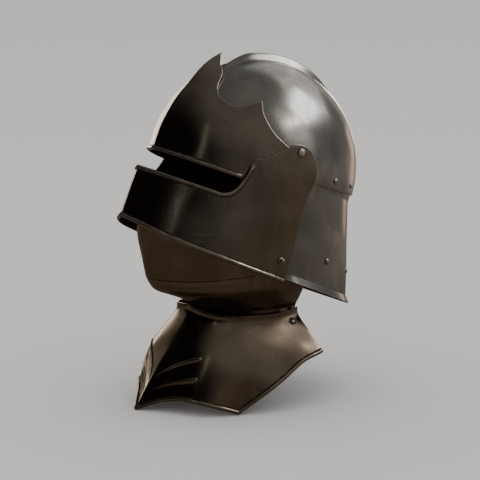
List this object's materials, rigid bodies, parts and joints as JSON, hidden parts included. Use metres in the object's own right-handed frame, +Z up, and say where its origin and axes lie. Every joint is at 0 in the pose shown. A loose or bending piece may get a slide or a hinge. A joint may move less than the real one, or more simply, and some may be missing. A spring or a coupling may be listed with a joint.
{
  "type": "sallet helmet with bevor",
  "caption": "Late medieval war helmet of lapped steel plates: combed skull, brow plate, pivoting visor below a sight slit, flared tail, and the chin and neck defence worn with it.",
  "frame": {"origin": "where the crown bears on the head: the inner face of the skull where it is level, on the middle plane", "axes": "+Z up, the face towards -Y, the wearer's left on +X; helmet leaning back 23 degrees over an upright bevor"},
  "size_m": [0.2274, 0.3421, 0.4449],
  "materials": {
    "polished_steel": "polished grey steel with cloudy smudges and small pits",
    "warm_steel": "polished steel with a warm brown cast and bright worn edges",
    "dark_steel": "darker oiled steel, brown in the hollows, bright at the rolled edges",
    "rivet_steel": "domed and filed steel rivet heads, dark round their edges"
  },
  "bodies": {
    "helmet": {"skull": "polished_steel", "brow_plate": "warm_steel", "tail_plate": "polished_steel", "chin_plate": "dark_steel", "pivot_screw_left": "rivet_steel", "pivot_screw_right": "rivet_steel", "skull_rivet_left_1": "rivet_steel", "skull_rivet_left_2": "rivet_steel", "skull_rivet_left_3": "rivet_steel", "skull_rivet_right_1": "rivet_steel", "skull_rivet_right_2": "rivet_steel", "skull_rivet_right_3": "rivet_steel", "tail_rivet_left_1": "rivet_steel", "tail_rivet_left_2": "rivet_steel", "tail_rivet_right_1": "rivet_steel", "tail_rivet_right_2": "rivet_steel", "gorget_rivet_left": "rivet_steel", "gorget_rivet_right": "rivet_steel"},
    "visor": {"visor": "warm_steel", "visor_stud": "rivet_steel"},
    "gorget": {"gorget_plate": "dark_steel"}
  },
  "joints": [
    {"name": "visor_pivot", "type": "hinge", "parent": "helmet", "child": "visor", "pos_m": [0, 0.00268, -0.10404], "axis": [-1, 0, 0], "range_deg": [0, 58]},
    {"name": "gorget_pivot", "type": "hinge", "parent": "helmet", "child": "gorget", "pos_m": [0, 0.0133, -0.32604], "axis": [1, 0, 0], "range_deg": [0, 4]}
  ]
}
